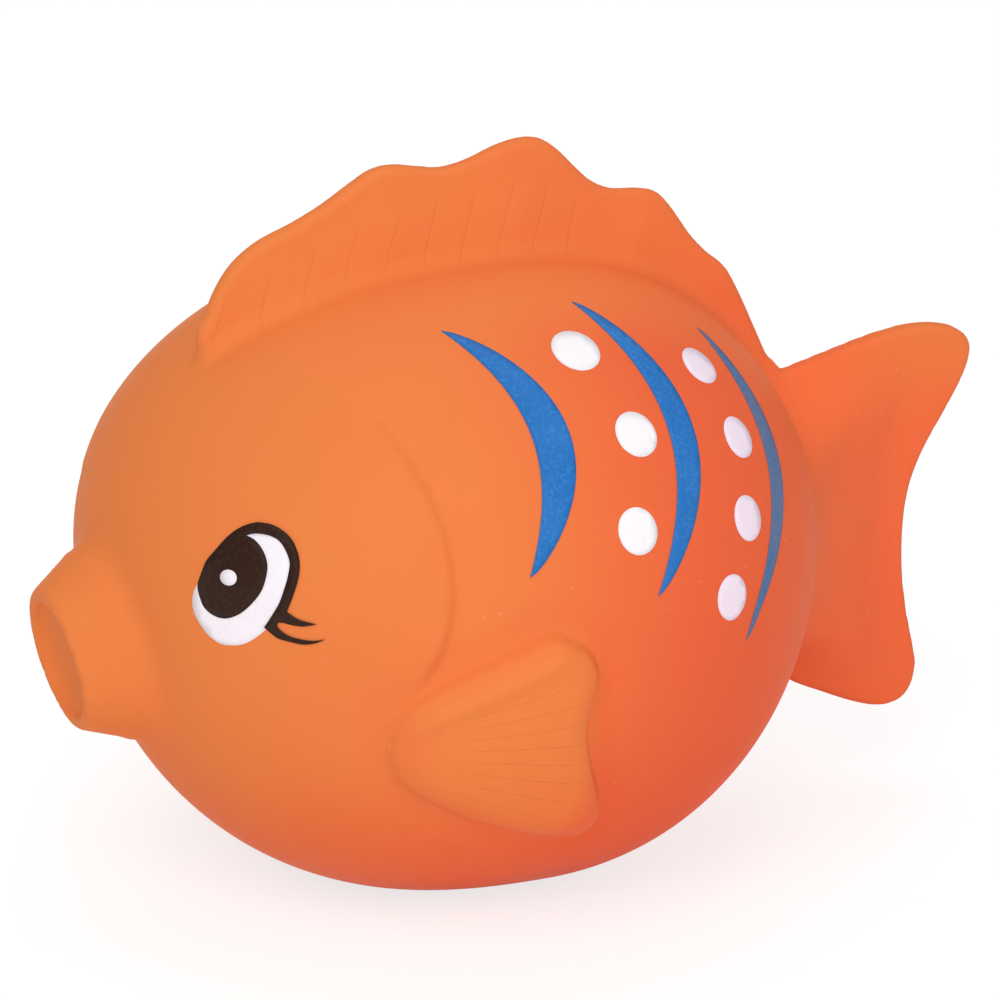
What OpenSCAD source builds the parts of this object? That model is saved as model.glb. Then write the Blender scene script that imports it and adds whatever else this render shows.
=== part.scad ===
// Squeeze-to-squeak bath fish. A hollow soft vinyl skin, shaped as an egg with a round mouth, a back fin,
// a tail and two flank fins, carries printed eyes, crescents and dots. A reed squeaker sits in the belly.
// The nose points to -X, the fish's left side to -Y, and the flat of the belly lies on Z = 0.

/* [Body] */
// Widest section forward to the nose end of the egg
body_front = 44.5; // [43:0.5:48]
// Widest section back to the tail end of the egg
body_rear = 35; // [34:0.5:40]
// Half of the width across the flanks
body_half_width = 38; // [36:0.5:42]
// Widest level up to the back
back_height = 31; // [30:0.5:35]
// Widest level down to the round of the belly
belly_depth = 38.5; // [37:0.5:42]
// Fullness of the front half, 2 for a plain ellipse
front_fullness = 2.5; // [2.3:0.05:2.8]
// Fullness of the rear half, 2 for a plain ellipse
rear_fullness = 2.1; // [2:0.05:2.5]
// Depth of the flat cut across the belly
belly_cut = 2; // [1.6:0.1:2.4]
// Thickness of the vinyl skin
skin_wall = 1.5; // [1.2:0.1:1.7]
// Thickness of the flat belly that grips the squeaker
belly_wall = 2.8; // [2.5:0.1:3.2]

/* [Mouth] */
// Radius of the lips
lip_r = 8; // [7.5:0.25:9]
// How far the lips stand ahead of the egg's nose end
mouth_reach = 6.5; // [5.5:0.25:7.5]
// Middle of the lips below the widest level
mouth_drop = 8; // [6:0.5:10]
// Downward tilt of the mouth, in degrees
mouth_tilt = 11; // [8:1:16]
// Length of the mouth's cone
mouth_length = 4.5; // [4:0.1:5]
// Radius of the mouth where its cone ends at the head
mouth_root_r = 10.2; // [9.6:0.1:10.8]
// Width of the lips around the dish
lip_width = 1.8; // [1.6:0.1:2.4]
// Depth of the dish between the lips
mouth_dish = 1.8; // [1.4:0.1:2.2]

/* [Gills] */
// Radius of the gill's curved crease
gill_r = 24.6; // [22:0.2:26]
// Middle of the crease behind the egg's nose end
gill_back = 25.7; // [24:0.1:27]
// Middle of the crease above the widest level
gill_height = 9.5; // [7:0.5:12]

/* [Back fin] */
// Radius of the fin's root, half of its thickness there
fin_root_r = 3; // [2.5:0.1:3.5]
// Radius along the fin's crest
fin_crest_r = 1.6; // [1.2:0.1:2]
// Height of the fin's tallest lobe above the back
fin_height = 12; // [9:0.5:14]

/* [Tail] */
// How far the tail reaches behind the egg's tail end
tail_reach = 23.7; // [20:0.1:26]
// Radius of the tail's root, half of its thickness there
tail_root_r = 3.2; // [2.6:0.1:3.8]
// Radius along the tail's edge
tail_edge_r = 1.7; // [1.3:0.1:2.2]

/* [Flank fins] */
// How far a flank fin's edge stands out from the flank
fin_edge_lift = 1.3; // [0.8:0.1:1.6]
// How far its root stands out from the flank
fin_foot_lift = 0.3; // [0.2:0.1:0.6]
// How deep the fin is rooted in the skin
fin_sunk = 0.7; // [0.5:0.1:0.9]

/* [Squeeze] */
// Inward travel of each flank
squeeze_travel = 9; // [6:0.5:9]
// Gap around a flank, where the skin bends
squeeze_gap = 0.3; // [0.25:0.05:0.4]
// Where a flank ends, out from the middle plane
flank_edge = 14; // [13.5:0.25:16]
// Bottom of a flank above the belly's floor
flank_foot = 1.4; // [1.2:0.1:3]
// Front of a flank, above and below the gill, ahead of the widest section
flank_front = 27.5; // [27:0.1:28.5]

/* [Prints] */
// Thickness of a print
print_t = 0.2; // [0.15:0.05:0.3]
// Clearance under each print
print_gap = 0.08; // [0.06:0.01:0.12]
// Tips of the front crescent behind the widest section
front_crescent_x = -11.3; // [-12:0.1:-10.5]
// How far its top tip lies behind its foot
front_crescent_lean = -0.6; // [-2:0.1:1]
// How far it bulges back
front_crescent_bulge = 7.9; // [7:0.1:8.5]
// Width of its middle
front_crescent_w = 4.1; // [3.2:0.1:4.6]
// Tips of the middle crescent behind the widest section
middle_crescent_x = 3.25; // [2.6:0.05:4]
// How far its top tip lies behind its foot
middle_crescent_lean = 1.1; // [0:0.1:2]
// How far it bulges back
middle_crescent_bulge = 7.6; // [7:0.1:8]
// Width of its middle
middle_crescent_w = 3.2; // [2.4:0.1:3.8]
// Tips of the rear crescent behind the widest section
rear_crescent_x = 16.25; // [15.5:0.05:17]
// How far its top tip lies behind its foot
rear_crescent_lean = 4.3; // [3.5:0.1:5]
// How far it bulges back
rear_crescent_bulge = 6.2; // [5.6:0.1:6.6]
// Width of its middle
rear_crescent_w = 2.2; // [1.6:0.1:2.6]
// Diameter of the dots
dot_d = 5; // [4.5:0.1:5.4]
// Ends of the front row of dots behind the widest section
front_dots_x = 1.15; // [0.8:0.05:1.5]
// How far the front row bows back
front_dots_bow = 2.65; // [2:0.05:3]
// Ends of the rear row of dots behind the widest section
rear_dots_x = 15.3; // [15:0.1:15.8]
// How far the rear row bows back
rear_dots_bow = 1.5; // [1.2:0.1:1.8]
// Middle of the eye behind the egg's nose end
eye_back = 8.1; // [7.8:0.1:9]
// How much further back the right eye is printed
right_eye_back = 1.5; // [0:0.1:2]
// Width of the eye white
eye_w = 11.2; // [10:0.2:11.6]
// Height of the eye white
eye_h = 12.6; // [11:0.2:13.4]
// Diameter of the pupil
pupil_d = 8.8; // [7:0.2:9.2]
// Middle of the pupil ahead of the eye's middle
pupil_ahead = 1.1; // [0.8:0.1:1.4]
// Middle of the pupil above the eye's middle
pupil_up = 1.2; // [0.8:0.1:1.5]
// Width of the dark line around the eye
eye_line = 1.3; // [0.8:0.1:1.6]
// Diameter of the glint
glint_d = 1.8; // [1.2:0.1:2.4]
// Length of the longer lash
lash_length = 5.6; // [4:0.2:6]

/* [Squeaker] */
// Middle of the squeaker ahead of the widest section
squeaker_ahead = 3; // [1:0.5:5]
// Radius of the flange that shows under the belly
flange_r = 8.5; // [8:0.25:9]
// Thickness of both flanges
flange_t = 1; // [0.8:0.1:1.1]
// Radius of the neck in the belly hole
neck_r = 6.5; // [6.2:0.1:7]
// Radius of the upper flange inside the fish
grip_r = 7.5; // [7.3:0.1:7.8]
// Radius of the barrel
barrel_r = 6; // [5.8:0.1:6.1]
// Top of the barrel above the belly's inside
barrel_h = 9.2; // [8.5:0.1:10]
// Bore of the barrel
bore_r = 4.6; // [4.3:0.1:4.8]
// Radius of the air hole under the belly
air_hole_r = 1.5; // [1:0.1:2]
// Width of the reed
reed_w = 5; // [4:0.2:6]
// Thickness of the reed
reed_t = 0.2; // [0.15:0.05:0.3]
// Height of the clip that holds the reed's foot
clip_h = 3; // [2.5:0.1:3.5]
// Width of the air trough in the reed bed
trough_w = 2.4; // [2:0.1:3]
// Depth of the air trough in the reed bed
trough_d = 1.8; // [1.2:0.1:2.2]
// Lean of the reed bed away from the reed, in degrees
bed_lean = 6; // [5:0.5:8]
// Wall of the squeaker's cap
cap_t = 1; // [0.8:0.1:1.2]
// Skirt of the cap down the barrel
cap_skirt = 2; // [1.5:0.1:3]
// Radius of the air holes in the cap
cap_hole_r = 0.9; // [0.6:0.1:1.1]
// Count of the air holes around the cap
cap_holes = 6; // [4:1:8]
// Clearance between the squeaker's pieces
seat_gap = 0.05; // [0.03:0.01:0.1]
// Clearance between the squeaker and the vinyl
vinyl_gap = 0.15; // [0.1:0.05:0.2]

/* [Hidden] */

orange = "#e87a42";
red_orange = "#e2683c";
print_blue = "#2a76be";
print_white = "#f6ece8";
print_black = "#3a2018";
squeaker_white = "#f2f0ea";
reed_clear = "#cfd8da";

// The fish is centred between its lips and the tip of its tail
body_x = (body_front + mouth_reach - body_rear - tail_reach) / 2;
body_z = belly_depth - belly_cut;
big = 200;
left = -1;
right = 1;

// Egg: half lengths, half width, and heights above and below the widest level
outer_egg = [body_front, body_rear, body_half_width, back_height, belly_depth];
inner_egg = [for (size = outer_egg) size - skin_wall];
egg_stations = 30;
egg_sides = 56;
cavity_stations = 20;
cavity_sides = 36;

function fullness(x) = x < 0 ? front_fullness : rear_fullness;
function egg_length(x, egg) = x < 0 ? egg[0] : egg[1];
function egg_height(turn, egg) = turn < 0 ? egg[4] : egg[3];

// Share of the full section at x, and its slope
function section(x, egg) =
    sqrt(max(1e-6, 1 - pow(min(1, abs(x) / egg_length(x, egg)), fullness(x))));
function section_slope(x, egg) =
    -sign(x) * fullness(x) * pow(abs(x) / egg_length(x, egg), fullness(x) - 1)
    / (2 * egg_length(x, egg) * section(x, egg));

// Point on the left of the egg at x, turned up from the widest level by an angle
function egg_point(x, turn, egg) =
    [x, -egg[2] * section(x, egg) * cos(turn), egg_height(turn, egg) * section(x, egg) * sin(turn)];

// Height of the egg's middle line at x, above or below the widest level
function ridge(x) = back_height * section(x, outer_egg);

// Place of the egg's rear middle line at a height
function rear_end(z) =
    body_rear * pow(max(0, 1 - pow(z / (z < 0 ? belly_depth : back_height), 2)), 1 / rear_fullness);

module placed() {
    translate([body_x, 0, body_z]) children();
}

module on_side(side) {
    placed() scale([1, -side, 1]) children();
}

// Every second ring of the egg is turned by half a step
module egg(egg, stations, sides) {
    steps = [for (i = [1:stations - 1]) sin(-90 + 180 * i / stations)];
    rings = [
        for (i = [0:stations - 2], j = [0:sides - 1])
            let (s = steps[i], turn = 360 * (j + (i % 2) / 2) / sides)
                egg_point(s * egg_length(s, egg), turn > 180 ? turn - 360 : turn, egg)
    ];
    points = concat([[-egg[0], 0, 0]], rings, [[egg[1], 0, 0]]);
    last = len(points) - 1;
    nose = [for (j = [0:sides - 1]) [0, 1 + (j + 1) % sides, 1 + j]];
    tail = [for (j = [0:sides - 1]) [last, last - sides + j, last - sides + (j + 1) % sides]];
    sheet = [
        for (i = [0:stations - 3], j = [0:sides - 1], half = [0, 1])
            let (a = 1 + i * sides + j, b = 1 + i * sides + (j + 1) % sides)
                i % 2 == 0
                    ? (half == 0 ? [a, b, a + sides] : [b, b + sides, a + sides])
                    : (half == 0 ? [a, b + sides, a + sides] : [a, b, b + sides])
    ];
    polyhedron(points, concat(nose, sheet, tail), convexity = 4);
}

// Mouth: a short cone on a round neck, with round lips around a dish
mouth_back = 9;
lip_half = lip_width / 2;
lip_tip = (lip_r - lip_half) * sin(mouth_tilt) - lip_half * cos(mouth_tilt) + lip_half;
mouth_at = [lip_tip - body_front - mouth_reach, 0, -mouth_drop];
mouth_flare = atan2(mouth_root_r - lip_r, mouth_length);

module mouth_axis() {
    translate(mouth_at) rotate([0, -90 - mouth_tilt, 0]) children();
}

module mouth() {
    neck = [[0, -mouth_back], [mouth_root_r, -mouth_back], [mouth_root_r, -mouth_length]];
    lips = [for (i = [0:6])
        let (a = mouth_flare + (180 - mouth_flare) * i / 6)
            [lip_r - lip_half + lip_half * cos(a), lip_half * sin(a) - lip_half]];
    dish = [for (i = [1:5])
        [(lip_r - lip_width) * cos(18 * i), -lip_half - (mouth_dish - lip_half) * sin(18 * i)]];
    mouth_axis() rotate_extrude($fn = 40)
        polygon(concat(neck, lips, dish));
}

module mouth_hollow() {
    hollow_end = -mouth_dish - skin_wall;
    mouth_axis() translate([0, 0, -mouth_back - 4])
        cylinder(r1 = mouth_root_r - 2 * skin_wall, r2 = lip_r - lip_width - skin_wall,
            h = mouth_back + 4 + hollow_end, $fn = 32);
}

// Back fin and tail: a web from a root to a round edge, thinning outwards, in the middle plane.
// Each place along the web has one flat ring of points.
web_round = 4;

function web_ring(root, edge, root_r, edge_r) =
    let (out = (edge - root) / norm(edge - root))
        concat(
            [root + [0, -root_r, 0]],
            [for (i = [0:web_round]) let (a = 180 * i / web_round - 90)
                edge + edge_r * (out * cos(a) + [0, sin(a), 0])],
            [root + [0, root_r, 0]]
        );

module web(roots, edges, root_r, edge_r) {
    rings = [for (i = [0:len(edges) - 1]) web_ring(roots[i], edges[i], root_r, edge_r)];
    count = len(rings[0]);
    points = [for (ring = rings) each ring];
    last = len(points) - count;
    sheet = [
        for (i = [0:len(rings) - 2], j = [0:count - 1], half = [0, 1])
            let (a = i * count + j, b = i * count + (j + 1) % count)
                half == 0 ? [a, b, a + count] : [b, b + count, a + count]
    ];
    ends = [
        for (j = [1:count - 2], half = [0, 1])
            half == 0 ? [0, j + 1, j] : [last, last + j, last + j + 1]
    ];
    polyhedron(points, concat(sheet, ends), convexity = 6);
}

// Crest of the back fin: place along the body, and height as a share of the tallest lobe
fin_crest = [
    [-33.5, 0.12], [-30.5, 0.5], [-27, 0.68], [-20, 0.72], [-13.5, 0.91], [-10, 0.92], [-5, 0.83],
    [0, 0.92], [5, 1], [8.5, 0.9], [12.5, 0.68], [18.5, 0.76], [21.5, 0.75], [25, 0.58],
    [27.8, 0.6], [30.5, 0.47], [32.5, 0.36], [34, 0.28]
];

module back_fin() {
    web([for (p = fin_crest) [p[0], 0, ridge(p[0]) - fin_root_r]],
        [for (p = fin_crest) [p[0], 0, ridge(p[0]) + p[1] * fin_height - fin_crest_r]],
        fin_root_r, fin_crest_r);
}

// Edge of the tail: behind the egg's tail end, and above the widest level
tail_tip = tail_reach - tail_edge_r;
tail_edge = [
    [-3, 9.5], [5, 11.6], [14, 13.2], [20, 13.4], [tail_tip, 10.8], [19.2, 5.5], [16, -1.5], [14, -7],
    [14.2, -13], [15.6, -20], [15.4, -24], [12.4, -25.8], [5.5, -23.5], [-2, -20]
];
tail_root_top = 9;
tail_root_foot = -18;

module tail() {
    heights = [for (i = [0:len(tail_edge) - 1])
        tail_root_top + (tail_root_foot - tail_root_top) * i / (len(tail_edge) - 1)];
    web([for (z = heights) [rear_end(z) - tail_root_r, 0, z]],
        [for (p = tail_edge) [body_rear + p[0], 0, p[1]]], tail_root_r, tail_edge_r);
}

module along_y(from, to) {
    translate([0, to, 0]) rotate([90, 0, 0]) linear_extrude(to - from) children();
}

module cavity() {
    intersection() {
        union() {
            egg(inner_egg, cavity_stations, cavity_sides);
            mouth_hollow();
        }
        translate([-big / 2, -big / 2, belly_wall - body_z]) cube(big);
    }
}

// Flank: the side of the body behind the gill, which a hand squeezes in. Its outline follows
// the line where the egg stands out from the middle plane by flank_edge.
flank_share = 1 - pow(flank_edge / body_half_width, 2);
flank_top = 0.985 * back_height * sqrt(flank_share);
flank_foot_z = belly_wall + flank_foot - body_z;
flank_inside = squeeze_travel + 1;
window_inside = 4;
flank_rows = 24;
flank_columns = 22;
gill_at = [gill_back - body_front - gill_r, gill_height];

function flank_reach(z, x_sign) =
    egg_length(x_sign, outer_egg)
    * pow(max(0, flank_share - pow(z / (z < 0 ? belly_depth : back_height), 2)), 1 / fullness(x_sign));
function gill_line(z) = gill_at[0] + sqrt(max(0, gill_r * gill_r - pow(z - gill_at[1], 2)));
function flank_front_x(z) = max(-flank_front, gill_line(z), -flank_reach(z, -1));

// Rows of the flank's outline from its foot to its top: front, rear and height
flank_lines = [
    for (i = [0:flank_rows])
        let (z = flank_foot_z + (flank_top - flank_foot_z) * i / flank_rows)
            [flank_front_x(z), flank_reach(z, 1), z]
];
flank_row_h = (flank_top - flank_foot_z) / flank_rows;

// The same rows drawn in by the gap all round
function flank_end(i, next) =
    flank_lines[i] + (flank_lines[next] - flank_lines[i]) * squeeze_gap / flank_row_h;
function flank_lean(i) =
    (flank_lines[min(i + 1, flank_rows)] - flank_lines[max(i - 1, 0)])
    / (flank_lines[min(i + 1, flank_rows)][2] - flank_lines[max(i - 1, 0)][2]);
function flank_inset(i) =
    let (row = i == 0 ? flank_end(0, 1) : i == flank_rows ? flank_end(i, i - 1) : flank_lines[i])
    let (lean = flank_lean(i))
        [row[0] + squeeze_gap * norm([1, lean[0]]), row[1] - squeeze_gap * norm([1, lean[1]]), row[2]];

// Distance of the egg's side from the middle plane at x, z
function egg_side(x, z, egg) =
    egg[2] * sqrt(max(0, 1 - pow(abs(x) / egg_length(x, egg), fullness(x))
        - pow(z / egg_height(z, egg), 2)));

module flank_outline() {
    polygon(concat(
        [for (row = flank_lines) [row[0], row[2]]],
        [for (i = [flank_rows:-1:0]) [flank_lines[i][1], flank_lines[i][2]]]
    ));
}

// A closed sheet of rows and columns: the inner points first, then the outer ones
module shell_sheet(points, rows, columns) {
    sheet = rows * columns;
    faces = [
        for (i = [0:rows - 2], j = [0:columns - 2], half = [0, 1])
            let (a = i * columns + j, b = a + 1, c = a + columns, d = c + 1)
                each half == 0
                    ? [[a, b, c], [a + sheet, c + sheet, b + sheet]]
                    : [[b, d, c], [b + sheet, c + sheet, d + sheet]]
    ];
    loop = concat(
        [for (j = [0:columns - 1]) j],
        [for (i = [1:rows - 1]) i * columns + columns - 1],
        [for (j = [columns - 2:-1:0]) (rows - 1) * columns + j],
        [for (i = [rows - 2:-1:1]) i * columns]
    );
    sides = [
        for (k = [0:len(loop) - 1], half = [0, 1])
            let (a = loop[k], b = loop[(k + 1) % len(loop)])
                half == 0 ? [a, a + sheet, b] : [b, a + sheet, b + sheet]
    ];
    polyhedron(points, concat(faces, sides), convexity = 4);
}

module flank_shell() {
    points = [
        for (layer = [0, 1], i = [0:flank_rows], j = [0:flank_columns])
            let (row = flank_inset(i), z = row[2], x = row[0] + (row[1] - row[0]) * j / flank_columns)
            let (inside = max(flank_inside, egg_side(x, z, inner_egg)), outside = egg_side(x, z, outer_egg))
                [x, -(layer == 0 ? inside : outside), z]
    ];
    shell_sheet(points, flank_rows + 1, flank_columns + 1);
}

// Flank fin: edge points along the body and turned from the widest level, in degrees
flank_fin_root = [-24, -17.5];
flank_fin_start = 0.12;
flank_fin_edge = [
    [-23, -9], [-20.5, -5.5], [-17, -2], [-13, 0.8], [-9, 3], [-6, 0.5], [-4.4, -4], [-4.6, -9],
    [-5.2, -14], [-4, -22], [-2, -29], [-1.8, -35], [-4.5, -37.8], [-9, -36], [-14, -33], [-19, -29.5],
    [-22.5, -25]
];

module flank_fin() {
    film(flank_fin_edge, [for (p = flank_fin_edge) flank_fin_root + (p - flank_fin_root) * flank_fin_start],
        outer_egg, -fin_sunk, fin_edge_lift, fin_foot_lift, 5);
}

module flank(side) {
    color(orange) on_side(side) union() {
        flank_shell();
        flank_fin();
    }
}

module left_flank() { flank(left); }
module right_flank() { flank(right); }

// Squeaker: stacked up from the belly
squeaker_x = body_x - squeaker_ahead;
flange_sunk = 0.2;
flange_top = flange_sunk + flange_t;
recess_h = flange_top + seat_gap;
grip_z = belly_wall + seat_gap;
barrel_z = belly_wall + barrel_h;
floor_t = flange_t + 0.3;
bed_z = flange_sunk + floor_t + seat_gap;
bed_top = barrel_z - seat_gap;
bed_r = bore_r - seat_gap;
bed_face = 0.6;
clip_top = bed_z + clip_h;
reed_top = barrel_z - 0.6;
reed_face = bed_face + seat_gap;
clip_face = reed_face + reed_t + seat_gap;

module at_squeaker() {
    translate([squeaker_x, 0, 0]) children();
}

module squeaker_hole() {
    at_squeaker() {
        translate([0, 0, -1]) cylinder(r = flange_r + vinyl_gap, h = recess_h + 1, $fn = 64);
        translate([0, 0, -1]) cylinder(r = neck_r + vinyl_gap, h = belly_wall + 2, $fn = 64);
    }
}

overall_length = body_front + mouth_reach + body_rear + tail_reach;

module body_skin() {
    color(red_orange) resize([overall_length, 0, 0]) difference() {
        placed() difference() {
            union() {
                egg(outer_egg, egg_stations, egg_sides);
                mouth();
                back_fin();
                tail();
            }
            cavity();
            for (side = [left, right]) scale([1, -side, 1])
                along_y(-big / 2, -window_inside) flank_outline();
            translate([-big / 2, -big / 2, -body_z - big]) cube(big);
        }
        squeaker_hole();
    }
}

module squeaker_housing() {
    color(squeaker_white) at_squeaker() rotate_extrude($fn = 96) polygon([
        [air_hole_r, flange_sunk], [flange_r, flange_sunk], [flange_r, flange_top], [neck_r, flange_top],
        [neck_r, grip_z], [grip_r, grip_z], [grip_r, grip_z + flange_t], [barrel_r, grip_z + flange_t],
        [barrel_r, barrel_z], [bore_r, barrel_z], [bore_r, flange_sunk + floor_t],
        [air_hole_r, flange_sunk + floor_t]
    ]);
}

module reed_bed() {
    color(squeaker_white) at_squeaker() difference() {
        translate([0, 0, bed_z]) cylinder(r = bed_r, h = bed_top - bed_z, $fn = 64);
        translate([bed_face, -big / 2, 0]) cube(big);
        translate([bed_face, -big / 2, clip_top]) rotate([0, -bed_lean, 0]) cube(big);
        translate([bed_face - trough_d, -trough_w / 2, 0]) cube([big, trough_w, reed_top - 1]);
    }
}

// The free tongue of the reed starts at the clip's top edge, where it bends
module reed_strip(from, to) {
    color(reed_clear) at_squeaker() translate([reed_face, -reed_w / 2, from])
        cube([reed_t, reed_w, to - from]);
}

module reed() { reed_strip(clip_top + seat_gap, reed_top); }
module reed_foot() { reed_strip(bed_z + seat_gap, clip_top); }

module reed_clip() {
    color(squeaker_white) at_squeaker() difference() {
        translate([0, 0, bed_z]) cylinder(r = bed_r, h = clip_h, $fn = 64);
        translate([clip_face - big, -big / 2, 0]) cube(big);
    }
}

module squeaker_cap() {
    cap_in = barrel_r + seat_gap;
    color(squeaker_white) at_squeaker() difference() {
        translate([0, 0, barrel_z - cap_skirt]) cylinder(r = cap_in + cap_t, h = cap_skirt + cap_t, $fn = 64);
        translate([0, 0, barrel_z - big]) cylinder(r = cap_in, h = big + seat_gap, $fn = 64);
        for (i = [0:cap_holes - 1]) rotate(360 * i / cap_holes) translate([bore_r / 1.6, 0, barrel_z])
            cylinder(r = cap_hole_r, h = big, $fn = 24);
    }
}

// Prints: thin films on the egg. An edge is a list of places along the body and turns in degrees.
function lifted(egg, lift) = [for (size = egg) size + lift];

// Carries a step along the surface (back, up) from a middle point to a place on the egg
function surface_place(middle, along, up) =
    let (x = middle[0], turn = middle[1], wide = body_half_width, tall = egg_height(turn, outer_egg))
    let (slope = section_slope(x, outer_egg) * norm([wide * cos(turn), tall * sin(turn)]))
    let (round = section(x, outer_egg) * norm([wide * sin(turn), tall * cos(turn)]))
        [x + along / sqrt(1 + slope * slope), turn + up / round * 180 / PI];

// A film between two edges that have the same count of points, from a base up to a top at each edge
module film(edge_a, edge_b, egg, base, top_a, top_b, across) {
    rows = len(edge_a);
    points = [
        for (layer = [0, 1], i = [0:rows - 1], j = [0:across])
            let (share = j / across, p = edge_a[i] + (edge_b[i] - edge_a[i]) * share, x = p[0])
            let (grown = lifted(egg, layer == 0 ? base : top_a + (top_b - top_a) * share))
                egg_point(x * egg_length(x, grown) / egg_length(x, egg), p[1], grown)
    ];
    shell_sheet(points, rows, across + 1);
}

module print_film(edge_a, edge_b, base, across) {
    film(edge_a, edge_b, outer_egg, base, base + print_t, base + print_t, across);
}

// A round or oval print, tilted on the surface
module oval(middle, width, height, tilt, base) {
    turns = [for (i = [0:8]) 21 * i - 84];
    function edge(side) = [
        for (a = turns)
            let (along = side * width / 2 * cos(a), up = height / 2 * sin(a))
                surface_place(middle, along * cos(tilt) - up * sin(tilt), along * sin(tilt) + up * cos(tilt))
    ];
    print_film(edge(-1), edge(1), base, ceil(width / 2));
}

// A crescent between two tips, whose turns up from the widest level are in degrees, bulging back
module crescent(x, lean, turns, bulge, width) {
    top = [x + lean / 2, turns[0]];
    foot = [x - lean / 2, turns[1]];
    shares = [for (i = [0:14]) 0.012 + 0.976 * i / 14];
    function edge(bulge, roundness) = [
        for (s = shares) top + (foot - top) * s + [bulge * pow(sin(180 * s), roundness), 0]
    ];
    print_film(edge(bulge, 0.75), edge(bulge - width, 1), print_gap, 2);
}

// A row of dots: each one's turn up from the widest level, and its share of the row's bow
module dots(x, bow, places) {
    for (place = places) oval([x + bow * place[1], place[0]], dot_d, dot_d, 0, print_gap);
}

front_crescent_turns = [64, 14.5];
middle_crescent_turns = [64, 7.5];
rear_crescent_turns = [60, -5.5];
front_dot_places = [[55, 0], [38, 1], [20, 0]];
rear_dot_places = [[52, 0], [36, 1], [19, 0], [4, -2]];

module front_crescent(side) {
    color(print_blue) on_side(side) crescent(front_crescent_x, front_crescent_lean, front_crescent_turns,
        front_crescent_bulge, front_crescent_w);
}

module middle_crescent(side) {
    color(print_blue) on_side(side) crescent(middle_crescent_x, middle_crescent_lean, middle_crescent_turns,
        middle_crescent_bulge, middle_crescent_w);
}

module rear_crescent(side) {
    color(print_blue) on_side(side) crescent(rear_crescent_x, rear_crescent_lean, rear_crescent_turns,
        rear_crescent_bulge, rear_crescent_w);
}

module front_dots(side) {
    color(print_white) on_side(side) dots(front_dots_x, front_dots_bow, front_dot_places);
}

module rear_dots(side) {
    color(print_white) on_side(side) dots(rear_dots_x, rear_dots_bow, rear_dot_places);
}

// Eye: white, then the dark pupil, line and lashes, then the glint
eye_turn = 17.5;
eye_tilt = -14;
function eye_middle(side) = [eye_back + (side == right ? right_eye_back : 0) - body_front, eye_turn];
function pupil_middle(side) = surface_place(eye_middle(side), -pupil_ahead, pupil_up);
dark_base = 2 * print_gap + print_t;
glint_base = 3 * print_gap + 2 * print_t;

// Point on the eye's rim, in degrees up from the rear corner, outside the white by a margin
function eye_rim(side, angle, margin) =
    let (along = (eye_w / 2 + margin) * cos(angle), up = (eye_h / 2 + margin) * sin(angle))
        surface_place(eye_middle(side), along * cos(eye_tilt) - up * sin(eye_tilt),
            along * sin(eye_tilt) + up * cos(eye_tilt));

module eye_white(side) {
    color(print_white) on_side(side) oval(eye_middle(side), eye_w, eye_h, eye_tilt, print_gap);
}

// Outer margin of the dark line, thickest over the top of the eye
line_from = -30;
line_to = 160;
print_parting = 0.1;

function line_margin(angle) =
    eye_line * (0.25 + 0.75 * sin(180 * (angle - line_from) / (line_to - line_from)));

module lash(side, angle, length, droop) {
    root = eye_rim(side, angle, line_margin(max(angle, line_from)) + print_parting);
    function edge(up) = [
        for (i = [0:5])
            let (s = i / 5, half_width = 0.55 * (1 - 0.8 * s))
                surface_place(root, s * length, up * half_width - droop * length * s * (1 - s))
    ];
    print_film(edge(1), edge(-1), dark_base, 1);
}

module eye_black(side) {
    angles = [for (a = [line_from:19:line_to]) a];
    color(print_black) on_side(side) {
        oval(pupil_middle(side), pupil_d, pupil_d, 0, dark_base);
        print_film([for (a = angles) eye_rim(side, a, 0)],
            [for (a = angles) eye_rim(side, a, line_margin(a))], dark_base, 1);
        lash(side, -16, 0.7 * lash_length, 0.25);
        lash(side, -42, lash_length, 0.3);
    }
}

module eye_glint(side) {
    color(print_white) on_side(side) oval(pupil_middle(side), glint_d, glint_d, 0, glint_base);
}

module left_eye_white() { eye_white(left); }
module right_eye_white() { eye_white(right); }
module left_eye_black() { eye_black(left); }
module right_eye_black() { eye_black(right); }
module left_eye_glint() { eye_glint(left); }
module right_eye_glint() { eye_glint(right); }
module left_front_crescent() { front_crescent(left); }
module right_front_crescent() { front_crescent(right); }
module left_middle_crescent() { middle_crescent(left); }
module right_middle_crescent() { middle_crescent(right); }
module left_rear_crescent() { rear_crescent(left); }
module right_rear_crescent() { rear_crescent(right); }
module left_front_dots() { front_dots(left); }
module right_front_dots() { front_dots(right); }
module left_rear_dots() { rear_dots(left); }
module right_rear_dots() { rear_dots(right); }

body_skin();
left_flank();
right_flank();
squeaker_housing();
reed_bed();
reed();
reed_foot();
reed_clip();
squeaker_cap();
left_eye_white();
right_eye_white();
left_eye_black();
right_eye_black();
left_eye_glint();
right_eye_glint();
left_front_crescent();
right_front_crescent();
left_middle_crescent();
right_middle_crescent();
left_rear_crescent();
right_rear_crescent();
left_front_dots();
right_front_dots();
left_rear_dots();
right_rear_dots();
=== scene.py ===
"""Builds the look of a squeeze-to-squeak vinyl bath fish over its CAD frame.

Shapes are worked out in millimetres from the middle of the egg-shaped body: the nose points to -X and
the fish's left side to -Y. The skin is one smooth field with the mouth, back fin, tail, gill creases and
flank fins in it. It is made as a left half and a mirrored right half.
"""

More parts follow.
